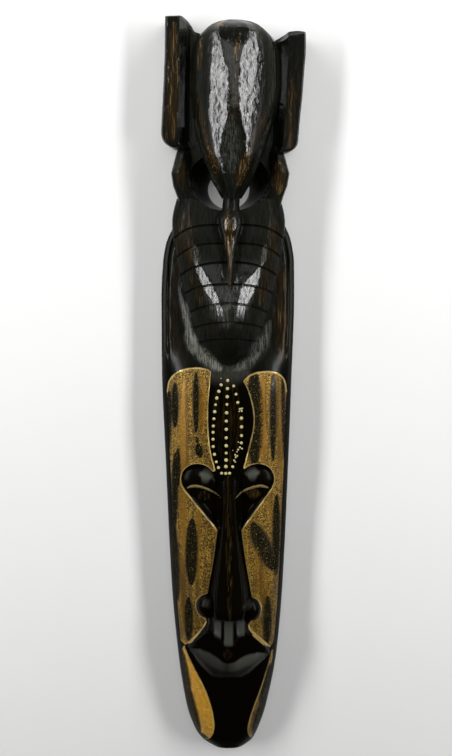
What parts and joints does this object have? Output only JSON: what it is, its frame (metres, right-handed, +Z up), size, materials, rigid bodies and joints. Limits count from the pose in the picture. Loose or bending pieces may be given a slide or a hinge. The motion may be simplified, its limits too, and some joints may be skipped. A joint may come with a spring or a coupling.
{
  "type": "carved mask",
  "caption": "Long carved wooden wall mask: a narrow face with painted panels under a ribbed hood, topped by a bird whose beak lies on the hood.",
  "frame": {"origin": "centre of the bounding box on the ground plane, which is the plane of the flat back", "axes": "the mask lies on its back: +Z up out of the face, +Y along its length from the chin to the bird, +X across it"},
  "size_m": [0.1872, 1, 0.095],
  "materials": {
    "painted_wood": "black-stained carved wood under a glossy varnish, brown where it is rubbed, with gold-painted stippled panels, gold edges and rows of pale gold dots"
  },
  "bodies": {
    "root": {"carved_mask": "painted_wood"}
  },
  "joints": []
}
